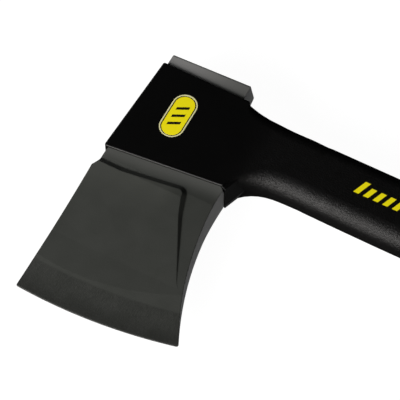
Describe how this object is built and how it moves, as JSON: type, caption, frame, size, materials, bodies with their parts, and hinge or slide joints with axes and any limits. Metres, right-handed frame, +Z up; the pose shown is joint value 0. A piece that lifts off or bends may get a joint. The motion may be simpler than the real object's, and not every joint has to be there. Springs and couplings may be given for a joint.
{
  "type": "chopping axe",
  "caption": "Wedge-cheeked chopping axe: a coated forged head moulded into the collar of a long black composite handle with a soft grip and a hooked, drilled pommel.",
  "frame": {"origin": "bottom centre of the bounding box, on the surface the axe lies on", "axes": "+X along the handle from the head to the pommel, +Y towards the poll (the cutting edge faces -Y), +Z up, out of the upper cheek"},
  "size_m": [0.6004, 0.1616, 0.022],
  "materials": {
    "head_steel": "dark grey satin low-friction coating over forged steel",
    "handle_nylon": "black glass-filled nylon with a fine spark-eroded grain",
    "grip_rubber": "black soft overmould with a moulded texture",
    "cap_nylon": "black glass-filled nylon with a fine spark-eroded grain",
    "badge": "yellow printed label with a cream rim",
    "print": "yellow pad print"
  },
  "bodies": {
    "root": {"axe_head": "head_steel", "handle_body": "handle_nylon", "soft_grip": "grip_rubber", "end_cap": "cap_nylon", "badge_near": "badge", "badge_far": "badge", "flank_marks_near": "print", "flank_marks_far": "print"}
  },
  "joints": []
}
